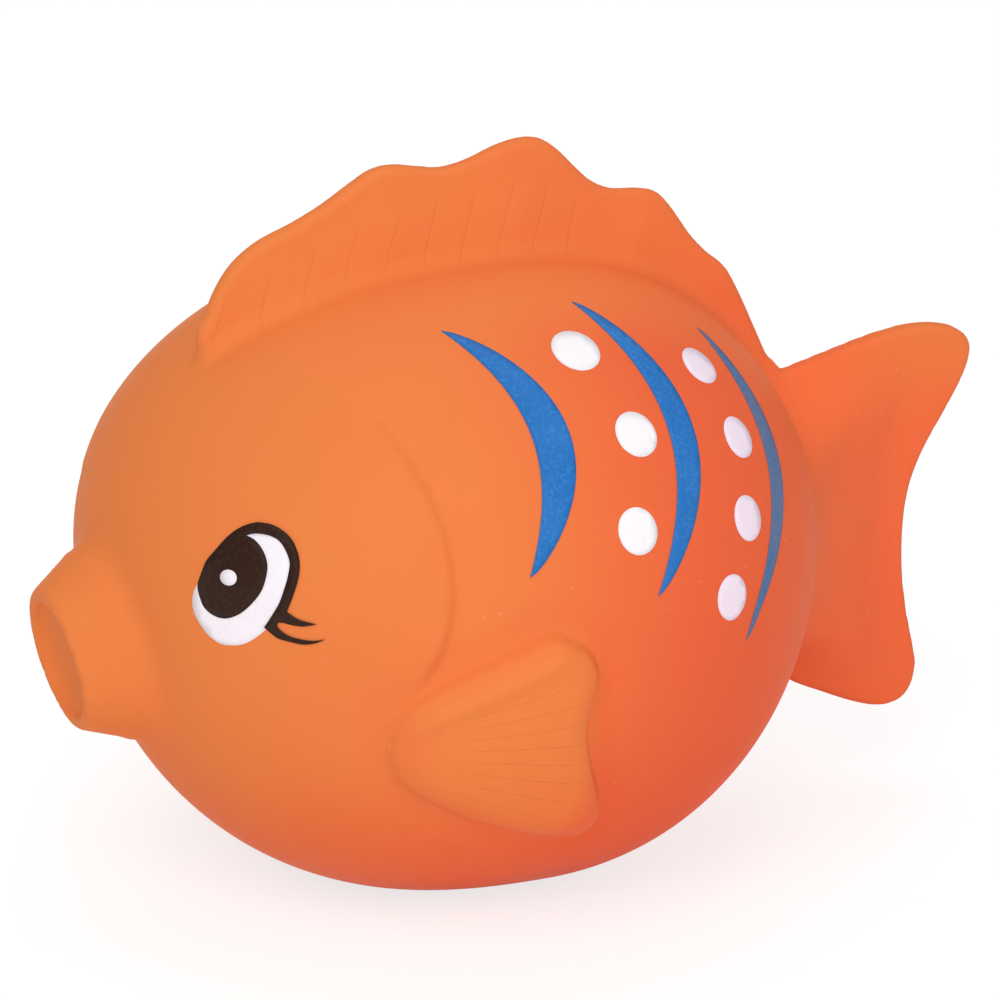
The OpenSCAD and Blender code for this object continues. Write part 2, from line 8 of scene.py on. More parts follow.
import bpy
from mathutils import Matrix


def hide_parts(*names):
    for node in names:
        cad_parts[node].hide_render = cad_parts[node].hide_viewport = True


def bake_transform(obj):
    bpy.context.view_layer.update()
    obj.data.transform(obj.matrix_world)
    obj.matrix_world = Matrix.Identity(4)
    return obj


bl_info = {
    "name": "Squeaky bath fish",
    "version": (1, 0, 0),
    "blender": (4, 5, 0),
    "location": "View3D > Sidebar > Bath fish",
    "description": "Builds a soft vinyl squeeze fish with printed eyes, crescents and dots",
    "category": "Add Mesh",
}

import math

import bpy
import numpy as np
from mathutils import Vector
from mathutils.geometry import delaunay_2d_cdt

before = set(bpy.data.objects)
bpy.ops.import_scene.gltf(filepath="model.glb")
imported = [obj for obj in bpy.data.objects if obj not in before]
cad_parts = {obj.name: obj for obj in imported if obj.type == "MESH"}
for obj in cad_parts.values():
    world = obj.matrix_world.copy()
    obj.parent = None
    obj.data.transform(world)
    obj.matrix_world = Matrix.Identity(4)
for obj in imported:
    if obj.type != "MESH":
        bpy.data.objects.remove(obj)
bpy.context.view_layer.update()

MM = 0.001
BODY_MIDDLE = np.array([-3.85, 0.0, 36.5])
SIDES = {"left": 1, "right": -1}

# Egg: front, rear, half width, up, down
EGG = np.array([44.5, 35.0, 38.0, 31.0, 38.5])
# How full the egg is towards its front and rear ends
FULLNESS = (2.5, 2.1)

# Level of the flat belly, its edge's rounding, the skin's thickness there, and the squeaker's hole in it
BELLY = -36.5
BELLY_ROUNDING = 2.0
BELLY_WALL = 2.8
SQUEAKER_X = -3.0
FLANGE_RADIUS = 8.65
FLANGE_DEPTH = 1.25
NECK_RADIUS = 6.65
NECK_DEPTH = 4.0

# Gill crease: middle in the side view, radius, and where it fades, in degrees from level
GILL_MIDDLE = (-43.4, 9.5)
GILL_RADIUS = 24.9
GILL_FADE = (20, 42)
# How far ahead of the crease its step reaches, and the depth of the dip behind it
GILL_REACH = 11
GILL_DIP = 0.3

# Mouth: middle of the lips in the side view and tilt in degrees
MOUTH_MIDDLE = (-49.1, -7.9)
MOUTH_TILT = 11
# Outside of the mouth, as radius and way along its axis, then the lips' ring and the dish in it
MOUTH_SIDE = [(10.6, -11), (10.3, -4.9), (9.9, -4.2)]
LIP_RING = 7.1
LIP_ROUND = 0.9
DISH_RADIUS = 6.3
DISH_EDGE = -0.45
DISH_DEPTH = 1.5

# Half thickness of back fin and tail at their edges and roots, and the rounding of their edges
BACK_FIN_EDGE = 1.15
BACK_FIN_ROOT = 2.6
TAIL_EDGE = 1.4
TAIL_ROOT = 6.9
WEB_ROUNDING = 0.95
# How far inside their outlines they reach their root thickness, and the tail its root fillet
BACK_FIN_RISE = 11
TAIL_RISE = 7.5
TAIL_FILLET_RISE = 9
# Where the tail thins from its root to its edge, along x
TAIL_TAPER = (33, 52)

# Flank fin: upper corner in the side view, slope of the upper edge, height of its roll, depth of the moat
FIN_CORNER = (-9.4, 1.7)
FIN_EDGE_SLOPE = 0.47
FIN_ROLL = 0.5
FIN_MOAT = 0.4
# Point that a flank fin's rays fan out from, in the side view
RAY_ROOT = (-31.5, -9.6)

# Box that the skin's field is sampled in, and half of the hairline between its two halves
FIELD_X = (-56.3, 60.5)
FIELD_Y = 43
FIELD_Z = (BELLY - 1.83, 45)
HAIRLINE = 0.001

# Side-view outlines, x and z, and the step that they are drawn in
OUTLINE_STEP = 0.8
BACK_FIN = [
    (-32.5, 24), (-31.6, 28), (-30.3, 30.8), (-28.4, 33.2), (-25.6, 35.1), (-22, 36.5), (-18.6, 38.1),
    (-15.6, 39.9), (-13, 41.3), (-10.6, 41.6), (-7.6, 41.1), (-5, 40.7), (-2, 41.2), (1.4, 42.4),
    (4.2, 42.9), (6.4, 42.6), (8.4, 41.2), (10.4, 39.1), (12.5, 37.2), (15, 36.1), (18, 35.8),
    (20.2, 35.1), (22, 33), (24, 30.1), (26, 27.9), (28.2, 26), (30, 22.8), (31.8, 18.9), (33.3, 15.6),
    (34.8, 12.4), (30, 3), (14, 12), (-10, 14), (-26, 12),
]
TAIL = [
    (31, 11.9), (36.4, 13.2), (41.6, 14.5), (46.6, 15.7), (51, 16.3), (54.4, 16.1), (57, 15.3),
    (58.4, 13.9), (58.5, 12.2), (57.6, 9.6), (55.5, 6), (53, 1.9), (51.4, -2), (50.7, -6.5), (50.7, -11.5),
    (51.3, -16.4), (52.2, -20.6), (52.7, -23.6), (52, -26.3), (50.4, -27.7), (48, -27.9), (45, -27.0),
    (41, -25.2), (36.5, -22.9), (28, -17), (20, -4), (24, 8),
]
FLANK_FIN = [
    (-24.8, -10.2), (-24.3, -6.8), (-22.2, -4.3), (-17.8, -1.7), (-13.4, 0.3), (-9.4, 1.7), (-7.4, 0.9),
    (-5.5, -0.4), (-4.5, -2.1), (-4.3, -4), (-4.8, -6.3), (-5.1, -8.5), (-4.8, -10.9), (-3.7, -14.6),
    (-2.2, -18.2), (-1.6, -20.9), (-2.1, -22.9), (-3.7, -23.7), (-6.4, -23.3), (-10.5, -21.9),
    (-14.7, -20.1), (-18.7, -17.9), (-21.8, -15.8), (-23.9, -13.4),
]
EYE_DARK = [
    (-39.8, 4.8), (-39.5, 6), (-38.85, 7.6), (-37.95, 9), (-37, 10.3), (-36, 11.3), (-34.9, 12),
    (-34.1, 12.2), (-33.2, 12.1), (-32.4, 11.5), (-32, 10.6), (-31.9, 9.2), (-32.2, 7.7), (-32.8, 6),
    (-33.5, 4.2),
    (-32.7, 3.6), (-31.9, 3.4), (-31.2, 3.3), (-31.7, 3.1), (-32.4, 2.9), (-33.2, 2.9), (-33.8, 3),
    (-34.2, 3), (-34.4, 2.7), (-34.2, 2.2), (-33.5, 1.7), (-32.6, 1.5), (-31.6, 1.5), (-30.6, 1.8),
    (-31.4, 1.3), (-32.4, 1), (-33.5, 1.1), (-34.4, 1.3), (-35, 1.8), (-35.4, 2.2), (-34.7, 3.6), (-34, 5),
    (-33.4, 6.6), (-32.9, 8.1), (-32.7, 9), (-32.8, 9.9), (-33.1, 10.7), (-33.6, 11.1), (-34.3, 11.2),
    (-35, 11.1), (-35.6, 10.8), (-35.1, 10.6), (-34.7, 10), (-34.5, 9.2), (-34.5, 8.3), (-34.8, 7.1),
    (-35.3, 5.8), (-36.1, 4.5), (-36.9, 3.4), (-37.6, 2.7), (-38.3, 2.3), (-39, 2.4),
    (-39.5, 2.9), (-39.7, 3.6),
]
EYE_DARK_CORNERS = {14, 17, 22, 28, 34, 45}
EYE_WHITE = [
    (-39.75, 5.2), (-40.15, 4.1), (-40.3, 3), (-40.2, 1.9), (-39.8, 0.8), (-39.3, 0), (-38.6, -0.5),
    (-37.8, -0.4), (-37, 0), (-36.2, 0.8), (-35.3, 2), (-34.3, 3.7), (-33.5, 5.3), (-32.8, 7.3),
    (-32.5, 8.9), (-32.5, 10.1), (-33, 10.9), (-33.8, 11.4), (-34.6, 11.4), (-35.5, 11), (-36.4, 10.3),
    (-37.9, 8.6), (-39, 6.9),
]
GLINT_MIDDLE = (-37.5, 6.55)
# Places on the egg: x, and turn from the widest level in degrees; a dot also has its share of the size
CRESCENTS = {
    "front": ((-11.6, 66), (-11, 14.5), 7.9, 3.8),
    "middle": ((3.8, 68.5), (2.7, 7.5), 7.65, 4.45),
    "rear": ((18.2, 64.5), (14.1, -5.5), 6.2, 4.0),
}
DOTS = {
    "front": ((1.0, 56.4, 1.11), (3.8, 38, 1), (1.3, 20.2, 0.95)),
    "rear": ((15.2, 52.5, 0.95), (16.7, 36, 0.92), (15.3, 19, 0.92), (12.0, 4, 0.92)),
}

# Strength of the white surround
SURROUND = 0.4
# Lamps: name, place and aim in metres, width in metres, power in watts
LAMPS = (
    ("key", (-0.45, -0.55, 0.75), (0, 0, 0.04), 0.6, 3.75),
    ("fill", (0.7, -0.6, 0.4), (0, 0, 0.04), 0.7, 0.75),
    ("top", (0.1, 0.3, 0.9), (0, 0, 0.04), 0.9, 2.3),
    ("card", (-0.1, -0.62, 0.05), (0, 0, 0.03), 0.5, 1.1),
)

# Camera: angles in degrees, distance in metres, sensor, lens and aim in millimetres
CAMERA_AZIMUTH = -24
CAMERA_ELEVATION = 19
CAMERA_DISTANCE = 0.6
CAMERA_SENSOR = 36
CAMERA_LENS = 200.4
CAMERA_AIM = (-2.04, 0, 39.28)


def smooth_step(low, high, value):
    """0 below low, 1 above high, and a soft rise between."""
    t = np.clip((value - low) / (high - low), 0, 1)
    return t * t * (3 - 2 * t)


def bell(value, middle, width):
    """1 at the middle, and a soft fall to 0 on both sides."""
    return np.exp(-(((value - middle) / width) ** 2))


def soft_min(a, b, reach):
    """The smaller of two fields, with a fillet where they meet."""
    h = np.maximum(reach - np.abs(a - b), 0) / reach
    return np.minimum(a, b) - h * h * reach / 4


def soft_max(a, b, reach):
    """The larger of two fields, with a rounded edge where they meet."""
    return -soft_min(-a, -b, reach)


def curve(points, step, corners=()):
    """A closed smooth curve through the points, with sharp corners where asked."""
    points = np.array(points, float)
    n = len(points)
    out = []
    for i in range(n):
        a, b = points[i], points[(i + 1) % n]
        before = a if i in corners else points[i - 1]
        after = b if (i + 1) % n in corners else points[(i + 2) % n]
        count = max(1, int(round(np.linalg.norm(b - a) / step)))
        for t in np.arange(count) / count:
            out.append(0.5 * (2 * a + (b - before) * t + (2 * before - 5 * a + 4 * b - after) * t**2
                              + (3 * a - before - 3 * b + after) * t**3))
    return np.array(out)


def outline_distance(x, z, outline, far=9.0):
    """Distance from points to a closed outline, negative inside; points beyond far get far."""
    shape = np.broadcast_shapes(x.shape, z.shape)
    x, z = (np.broadcast_to(v, shape).ravel() for v in (x, z))
    low, high = outline.min(0) - far, outline.max(0) + far
    near = np.flatnonzero((x > low[0]) & (x < high[0]) & (z > low[1]) & (z < high[1]))
    px, pz = x[near], z[near]
    best = np.full(px.size, far * far)
    inside = np.zeros(px.size, bool)
    for (ax, az), (bx, bz) in zip(outline, np.roll(outline, -1, 0)):
        ex, ez = bx - ax, bz - az
        t = np.clip(((px - ax) * ex + (pz - az) * ez) / (ex * ex + ez * ez), 0, 1)
        best = np.minimum(best, (px - ax - t * ex) ** 2 + (pz - az - t * ez) ** 2)
        if ez:
            inside ^= ((az > pz) != (bz > pz)) & (px < ax + ex * (pz - az) / ez)
    out = np.full(x.size, far)
    out[near] = np.where(inside, -1, 1) * np.sqrt(best)
    return out.reshape(shape)


def egg_sizes(x, z, shrink=0.0):
    """The egg's half length, fullness, half width and half height on the sides that points are on."""
    front, rear, wide, up, down = EGG - shrink
    return np.where(x < 0, front, rear), np.where(x < 0, *FULLNESS), wide, np.where(z < 0, down, up)


def egg_distance(x, y, z, shrink=0.0):
    """Distance to the egg, negative inside, made smaller all round by shrink."""
    length, full, wide, tall = egg_sizes(x, z, shrink)
    u = np.abs(x) / length
    size = np.sqrt(u**full + (y / wide) ** 2 + (z / tall) ** 2) + 1e-6
    slope_x = full * u ** (full - 1) / length
    slope = np.sqrt(slope_x**2 + (2 * y / wide**2) ** 2 + (2 * z / tall**2) ** 2)
    return (size - 1) * 2 * size / (slope + 1e-4)


def web_distance(flat, y, half):
    """Distance to a web in the middle plane, from its outline's distance and its half thickness."""
    a = flat + WEB_ROUNDING
    b = np.abs(y) - half + WEB_ROUNDING
    return np.minimum(np.maximum(a, b), 0) + np.hypot(np.maximum(a, 0), np.maximum(b, 0)) - WEB_ROUNDING


class Form:
    """The outer form and the hollow of the skin as fields."""

    def __init__(self, shape):
        self.s = shape
        self.back_fin = curve(BACK_FIN, OUTLINE_STEP)
        self.tail = curve(TAIL, OUTLINE_STEP)
        self.flank_fin = curve(FLANK_FIN, OUTLINE_STEP)
        turns = np.radians(np.arange(26, 151, 18))
        lip = [(LIP_RING + LIP_ROUND * math.cos(a), LIP_ROUND * (math.sin(a) - 1)) for a in turns]
        turns = np.radians(np.arange(9, 90, 9))
        dish = [(DISH_RADIUS * math.cos(a), DISH_EDGE - DISH_DEPTH * math.sin(a)) for a in turns]
        side = MOUTH_SIDE + lip + dish
        self.mouth = np.array(side + [(-r, s) for r, s in reversed(side)])

    def mouth_distance(self, x, y, z):
        """Distance to the mouth, which is round about its tilted axis."""
        shape = np.broadcast_shapes(x.shape, y.shape, z.shape)
        x, y, z = (np.broadcast_to(v, shape) for v in (x, y, z))
        tilt = math.radians(MOUTH_TILT)
        dx, dz = x - MOUTH_MIDDLE[0], z - MOUTH_MIDDLE[1]
        along = -dx * math.cos(tilt) - dz * math.sin(tilt)
        across = dx * math.sin(tilt) - dz * math.cos(tilt)
        return outline_distance(np.hypot(across, y), along, self.mouth, 8.0)

    def gill_relief(self, x, z):
        """A step along the gill crease that fades ahead of it, and a shallow dip behind it."""
        dx, dz = x - GILL_MIDDLE[0], z - GILL_MIDDLE[1]
        ahead = GILL_RADIUS - np.hypot(dx, dz)
        fade = np.exp(-np.maximum(ahead, 0) / GILL_REACH)
        step = smooth_step(-0.5, 1.3, ahead) * fade * self.s.gill_step / MM
        dip = -GILL_DIP * bell(ahead, -1.6, 1.7)
        angle = np.degrees(np.abs(np.arctan2(dz, dx)))
        return (step + dip) * (1 - smooth_step(*GILL_FADE, angle))

    def flank_fin_relief(self, x, z):
        """A lifted fin, with a roll along its upper edge and a shallow moat around it."""
        inside = -outline_distance(x, z, self.flank_fin)
        lift = self.s.fin_lift / MM * (0.7 + 0.3 * smooth_step(-25, -6, x + 0.25 * z))
        short = np.clip(1 - (inside + 1) / 4, 0, 1)
        fin = lift * (1 - short**2) * smooth_step(-0.5, 0.45, inside)
        drop = FIN_CORNER[1] + FIN_EDGE_SLOPE * (x - FIN_CORNER[0]) - z
        below_edge = 0.905 * drop
        roll = FIN_ROLL * bell(below_edge, 1.9, 1.4) * smooth_step(0, 1.6, inside)
        moat = -FIN_MOAT * bell(inside, -1.5, 1.6) * (0.45 + 0.55 * smooth_step(-20, -8, x))
        return fin + roll + moat

    def relief(self, x, y, z):
        """How far the gill covers and flank fins stand out of the egg, on its sides only."""
        side = smooth_step(6, 16, np.abs(y))
        return side * (self.gill_relief(x, z) + self.flank_fin_relief(x, z))

    def outer(self, x, y, z):
        """The outer form: egg with relief, mouth, back fin, tail and flat belly."""
        s = self.s
        out = egg_distance(x, y, z) - self.relief(x, y, z)
        out = soft_min(out, self.mouth_distance(x, y, z), s.mouth_fillet / MM)
        flat = outline_distance(x, z, self.back_fin, 12.0)
        half = BACK_FIN_EDGE + (BACK_FIN_ROOT - BACK_FIN_EDGE) * smooth_step(0, BACK_FIN_RISE, -flat)
        out = soft_min(out, web_distance(flat, y, half), s.fin_fillet / MM)
        flat = outline_distance(x, z, self.tail)
        thick = smooth_step(0, TAIL_RISE, -flat) * (1 - smooth_step(*TAIL_TAPER, x))
        half = TAIL_EDGE + (TAIL_ROOT - TAIL_EDGE) * thick
        more = (s.tail_root_fillet - s.tail_fillet) / MM
        fillet = s.tail_fillet / MM + more * smooth_step(0, TAIL_FILLET_RISE, -flat)
        out = soft_min(out, web_distance(flat, y, half), fillet)
        return soft_max(out, BELLY - z, BELLY_ROUNDING)

    def solid(self, x, y, z):
        """The hollow skin with the squeaker's hole."""
        wall = self.s.wall / MM
        hollow = np.maximum(egg_distance(x, y, z, wall), BELLY + BELLY_WALL - z)
        out = np.maximum(self.outer(x, y, z), -hollow)
        radius = np.hypot(x - SQUEAKER_X, y)
        recess = np.maximum(radius - FLANGE_RADIUS, z - BELLY - FLANGE_DEPTH)
        neck = np.maximum(radius - NECK_RADIUS, z - BELLY - NECK_DEPTH)
        return np.maximum(out, -np.minimum(recess, neck))


def field_slope(field, p):
    """A field's value and its direction of rise at points."""
    here = field(*p.T)
    reach = 0.02
    steps = np.eye(3) * reach
    rise = np.stack([field(*(p + s).T) - field(*(p - s).T) for s in steps], 1) / (2 * reach)
    return here, rise


def settle(field, p, rounds):
    """Moves points onto the zero of a field, and gives its normals there."""
    least_slope, longest_move = 0.05, 0.3
    for _ in range(rounds):
        here, rise = field_slope(field, p)
        move = here / np.maximum((rise**2).sum(1), least_slope)
        p = p - np.clip(move, -longest_move, longest_move)[:, None] * rise
    rise = field_slope(field, p)[1]
    return p, rise / np.maximum(np.linalg.norm(rise, axis=1), 1e-6)[:, None]


def without_end(axis, end):
    """Slices that leave out a grid's last layer along an axis for end 0, and its first for end 1."""
    cut = [slice(None)] * 3
    cut[axis] = slice(1, None) if end else slice(None, -1)
    return tuple(cut)


def surface_net(values, axes):
    """Points and quads of the zero surface of a sampled field, one point in each crossed cell."""
    inside = values < 0
    cells = [n - 1 for n in values.shape]
    total = np.zeros(cells + [3])
    count = np.zeros(cells)
    grids = np.meshgrid(*axes, indexing="ij")
    for axis in range(3):
        a, b = without_end(axis, 0), without_end(axis, 1)
        crossed = inside[a] != inside[b]
        share = np.where(crossed, values[a] / np.where(crossed, values[a] - values[b], 1), 0)
        spots = np.stack([grids[k][a] + share * (grids[k][b] - grids[k][a]) for k in range(3)], -1)
        spots[~crossed] = 0
        others = [k for k in range(3) if k != axis]
        for i in (0, 1):
            for j in (0, 1):
                cut = [slice(None)] * 3
                for k, e in zip(others, (i, j)):
                    cut[k] = slice(e, values.shape[k] - 1 + e)
                total += spots[tuple(cut)]
                count += crossed[tuple(cut)]
    used = count > 0
    number = np.full(used.shape, -1)
    number[used] = np.arange(used.sum())
    points = total[used] / count[used][:, None]
    quads = []
    for axis in range(3):
        others = [k for k in range(3) if k != axis]
        a, b = ([slice(1, -1)] * 3 for _ in range(2))
        a[axis], b[axis] = slice(None, -1), slice(1, None)
        first, second = inside[tuple(a)], inside[tuple(b)]
        where = np.argwhere(first != second)
        for rising in (True, False):
            at = where[first[first != second] == rising]
            corners = []
            for i, j in ((0, 0), (1, 0), (1, 1), (0, 1)):
                cell = at.copy()
                cell[:, others[0]] += i
                cell[:, others[1]] += j
                corners.append(number[tuple(cell.T)])
            quad = np.stack(corners, 1)
            if rising == (axis == 1):
                quad = quad[:, ::-1]
            quads.append(quad)
    return points, np.concatenate(quads)


def new_mesh(name, points, faces, material, normals=None):
    """A mesh object in the row frame from points in millimetres about the body's middle."""
    mesh = bpy.data.meshes.new(name)
    mesh.from_pydata(((points + BODY_MIDDLE) * MM).tolist(), [], [list(map(int, f)) for f in faces])
    mesh.update()
    mesh.polygons.foreach_set("use_smooth", np.ones(len(mesh.polygons), bool))
    if normals is not None:
        mesh.normals_split_custom_set_from_vertices(normals.tolist())
    mesh.materials.append(material)
    ob = bpy.data.objects.new(name, mesh)
    bpy.context.scene.collection.objects.link(ob)
    return ob


def bend_with_flank(ob):
    """Bakes the piece's transform into its mesh."""
    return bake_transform(ob)


def mirrored(points, faces, normals, side):
    """The same points for the other side of the fish."""
    if side == "left":
        return points, faces, normals
    flip = np.array([1, -1, 1])
    return points * flip, [list(f)[::-1] for f in faces], normals * flip


def egg_place(x, turn):
    """Point on the left of the egg at x, turned up from the widest level in degrees."""
    turn = np.radians(turn)
    length, full, wide, tall = egg_sizes(x, turn)
    share = np.sqrt(np.maximum(1 - (np.abs(x) / length) ** full, 0))
    return np.stack([x, -wide * share * np.cos(turn), tall * share * np.sin(turn)], -1)


def film(name, outline, form, lift, thick, material, side):
    """A thin print with a side-view outline, laid on the skin."""
    step = 0.7
    low, high = outline.min(0), outline.max(0)
    columns, rows = np.arange(low[0], high[0], step), np.arange(low[1], high[1], step)
    grid = np.stack(np.meshgrid(columns, rows), -1).reshape(-1, 2)
    grid = grid[outline_distance(grid[:, 0], grid[:, 1], outline) < -0.4 * step]
    n = len(outline)
    flat = [Vector(p) for p in np.concatenate([outline, grid])]
    verts, _, faces, *_ = delaunay_2d_cdt(flat, [], [list(range(n))], 1, 1e-5)
    x, z = np.array([tuple(v) for v in verts]).T
    length, full, wide, tall = egg_sizes(x, z)
    y = -wide * np.sqrt(np.maximum(1 - (np.abs(x) / length) ** full - (z / tall) ** 2, 0.01))
    points, normals = settle(form.outer, np.stack([x, y, z], 1), 4)
    faces = np.array(faces)
    a, b, c = (points[faces[:, k]] for k in range(3))
    turned = (np.cross(b - a, c - a) * normals[faces[:, 0]]).sum(1) < 0
    faces[turned] = faces[turned][:, ::-1]
    edges = {}
    for f in faces.tolist():
        for i in range(3):
            edges[(f[i], f[(i + 1) % 3])] = True
    rim = [e for e in edges if (e[1], e[0]) not in edges]
    m = len(points)
    both = np.concatenate([points + normals * (lift + thick), points + normals * lift])
    skin = faces.tolist() + (faces[:, ::-1] + m).tolist() + [[j, i, i + m, j + m] for i, j in rim]
    both, skin, _ = mirrored(both, skin, np.zeros(3), side)
    ob = new_mesh(name, both, skin, material)
    ob.data.polygons.foreach_set("use_smooth", np.arange(len(skin)) < len(faces))
    return bend_with_flank(ob)


def ring_outline(middle, width, height):
    """Side-view outline of a round print of a size on the surface."""
    a = np.radians(np.arange(0, 360, 7.5))
    along, up = width / 2 * np.cos(a), height / 2 * np.sin(a)
    x, turn = middle
    nudge = 0.1
    here = egg_place(np.array([x, x + nudge, x]), np.array([turn, turn, turn + nudge]))
    per_x = np.linalg.norm(here[1] - here[0]) / nudge
    per_turn = np.linalg.norm(here[2] - here[0]) / nudge
    return egg_place(x + along / per_x, turn + up / per_turn)[:, [0, 2]]


def crescent_outline(top, foot, outer, inner):
    """Side-view outline of a crescent between two tips, bulging back."""
    top, foot = np.array(top), np.array(foot)
    s = np.linspace(0, 1, 70)[:, None]
    line = top + (foot - top) * s
    bow = np.sin(np.pi * s)
    back = line + np.array([1.0, 0]) * outer * bow**0.78
    front = line + np.array([1.0, 0]) * inner * bow
    edge = np.concatenate([back, front[-2:0:-1]])
    return egg_place(edge[:, 0], edge[:, 1])[:, [0, 2]]


def glint_outline(diameter):
    """Side-view outline of the eye's glint, an oval that looks round from the photographed side."""
    a = np.radians(np.arange(0, 360, 10))
    along, up = diameter / 2 * np.cos(a), diameter / 2 * np.sin(a)
    x, z = GLINT_MIDDLE
    return np.stack([x + 0.66 * along + 0.1 * up, z + 0.16 * along + 0.84 * up], 1)


class Wire:
    """A shader socket that takes part in sums, with the node tree it belongs to."""

    def __init__(self, tree, socket=None):
        self.tree, self.socket = tree, socket

    def node(self, kind, settings=None, values=None, output=0):
        """Adds a node with its settings and socket values, and gives one of its outputs."""
        made = self.tree.nodes.new(kind)
        for key, value in (settings or {}).items():
            setattr(made, key, value)
        for key, value in (values or {}).items():
            self.feed(made.inputs[key], value)
        return Wire(self.tree, made.outputs[output])

    def feed(self, socket, value):
        """Links a wire to a socket, or sets the socket's own value."""
        if isinstance(value, Wire):
            self.tree.links.new(value.socket, socket)
        else:
            socket.default_value = value

    def maths(self, operation, a, b):
        """Adds a Math node on two values."""
        return self.node("ShaderNodeMath", {"operation": operation}, {0: a, 1: b})

    def __add__(self, other):
        return self.maths("ADD", self, other)

    def __sub__(self, other):
        return self.maths("SUBTRACT", self, other)

    def __mul__(self, other):
        return self.maths("MULTIPLY", self, other)

    def __truediv__(self, other):
        return self.maths("DIVIDE", self, other)

    def __radd__(self, other):
        return self.maths("ADD", other, self)

    def __rsub__(self, other):
        return self.maths("SUBTRACT", other, self)

    def __rmul__(self, other):
        return self.maths("MULTIPLY", other, self)

    def __rtruediv__(self, other):
        return self.maths("DIVIDE", other, self)

    def ramp(self, low, high, to_low=0.0, to_high=1.0):
        """This value carried softly from one range to another."""
        return self.node("ShaderNodeMapRange", {"interpolation_type": "SMOOTHSTEP"},
                         {0: self, 1: low, 2: high, 3: to_low, 4: to_high})

    def mix(self, a, b):
        """Colour a where this value is 0, and b where it is 1."""
        return self.node("ShaderNodeMix", {"data_type": "RGBA"}, {0: self, 6: a, 7: b}, 2)


def linear(colour):
    """A screen colour as linear light with alpha."""
    return tuple((v / 12.92 if v <= 0.04045 else ((v + 0.055) / 1.055) ** 2.4) for v in colour) + (1.0,)


def material(name):
    """A new material, its Principled shader and a wire in its tree."""
    made = bpy.data.materials.new(name)
    made.use_nodes = True
    shader = made.node_tree.nodes["Principled BSDF"]
    return made, shader, Wire(made.node_tree)


def noise(wire, place, scale, detail=2.0, roughness=0.5):
    """Cloudy noise at places in metres."""
    values = {"Vector": place, "Scale": scale, "Detail": detail, "Roughness": roughness}
    return wire.node("ShaderNodeTexNoise", {}, values)


def bump(wire, height, strength, distance, under=None):
    """A bumped normal, on top of another one if that is given."""
    values = {"Strength": strength, "Distance": distance, "Height": height}
    if under:
        values["Normal"] = under
    return wire.node("ShaderNodeBump", {}, values)


def from_middle(place, axis):
    """A place along an axis in millimetres from the body's middle."""
    return (place - BODY_MIDDLE[axis] * MM) / MM


def square_mm(place):
    """The square of a length in metres, in square millimetres."""
    return place * place / MM**2


def thin_lines(count):
    """1 on each whole number of a value, fading to 0 beside it."""
    return count.maths("PINGPONG", count, 0.5).ramp(0.0, 0.07, 1.0, 0.0)


def back_fin_rays(x, y, z):
    """Fine slanting grooves up the back fin from its root."""
    along, up = from_middle(x, 0), from_middle(z, 2)
    lean, spacing = 0.36, 4.2
    lines = thin_lines((along - up * lean + 200) / spacing)
    top = 39.2 - (along - 3) * (along - 3) * 0.0085
    inside = (top - up).ramp(0, 2) * along.ramp(-34, -31) * along.ramp(9, 11, 1, 0)
    root = up - top + 10.2
    return lines * inside * root.ramp(0, 2.2) * square_mm(y).ramp(9, 14, 1, 0)


def flank_fin_rays(x, y, z):
    """Fine grooves fanning out over the flank fins from their roots, and a mask that is 1 over the fins
    themselves, for their painted highlight.
    """
    along, up = from_middle(x, 0) - RAY_ROOT[0], from_middle(z, 2) - RAY_ROOT[1]
    lines = thin_lines(up.maths("ARCTAN2", up, along) * 10.5 + 0.35)
    reach = along.maths("SQRT", along * along + up * up, 0)
    slant = up / along
    fan = slant.ramp(-0.5, -0.42) * slant.ramp(0.3, 0.36, 1, 0)
    outside = square_mm(y).ramp(300, 400)
    rays = lines * fan * reach.ramp(11, 17) * reach.ramp(25, 27.5, 1, 0)
    fin = slant.ramp(-0.66, -0.46) * slant.ramp(0.42, 0.58, 1, 0) * reach.ramp(6, 13)
    return rays * outside, fin * reach.ramp(26, 29.5, 1, 0) * outside


def rear_flank_shade_spot(x, y, z):
    """Mask for painted shade: 1 behind the middle of the flanks, fading out around."""
    band = x.ramp(-0.022, 0.008) * x.ramp(0.01, 0.034, 1, 0.2)
    return band * z.ramp(0.064, 0.076, 1, 0) * square_mm(y).ramp(60, 500)


